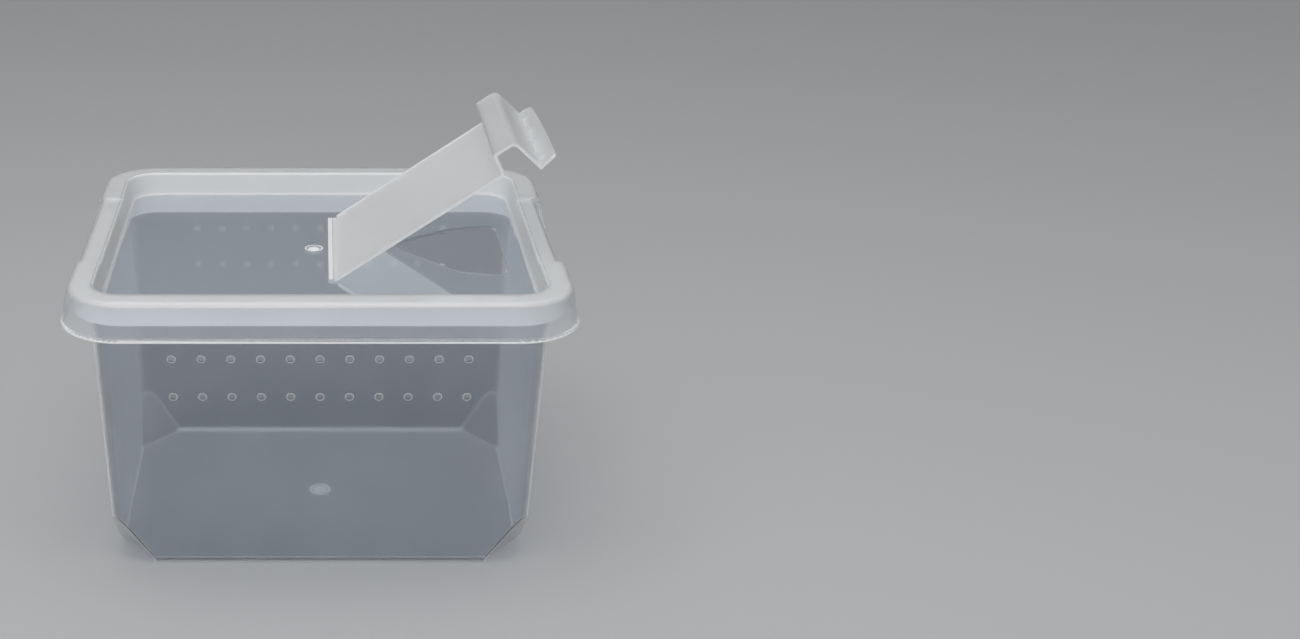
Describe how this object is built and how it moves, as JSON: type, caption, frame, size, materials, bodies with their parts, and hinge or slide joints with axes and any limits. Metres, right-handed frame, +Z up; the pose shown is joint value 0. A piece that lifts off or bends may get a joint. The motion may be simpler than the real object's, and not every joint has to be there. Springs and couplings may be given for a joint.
{
  "type": "pet keeper",
  "caption": "Translucent plastic pet keeper: tapered vented tub and press-on lid with a sunken clear panel, a hatch and a hinged flap that clips over the rim.",
  "frame": {"origin": "centre of the tub's foot, on the surface it stands on", "axes": "+Z up, +X towards the flap's free end, +Y towards the back wall; the pictured front wall with the vents faces -Y"},
  "size_m": [0.2018, 0.1746, 0.1749],
  "materials": {
    "tub_plastic": "clear natural polypropylene, glossy, slightly milky at the edges",
    "lid_plastic": "natural polypropylene, glossy clear panel and milky rim",
    "flap_plastic": "natural polypropylene, fine satin on the outside and glossy below"
  },
  "bodies": {
    "tub": {"tub": "tub_plastic"},
    "lid": {"lid": "lid_plastic", "film_hinge": "flap_plastic"},
    "flap": {"flap": "flap_plastic"}
  },
  "joints": [
    {"name": "lid_lift", "type": "slide", "parent": "tub", "child": "lid", "axis": [0, 0, 1], "range_m": [0, 0.06]},
    {"name": "flap_hinge", "type": "hinge", "parent": "lid", "child": "flap", "pos_m": [0.007, 0, 0.11785], "axis": [0, -1, 0], "range_deg": [-34.2, 85.8], "deforming": ["film_hinge"]}
  ]
}
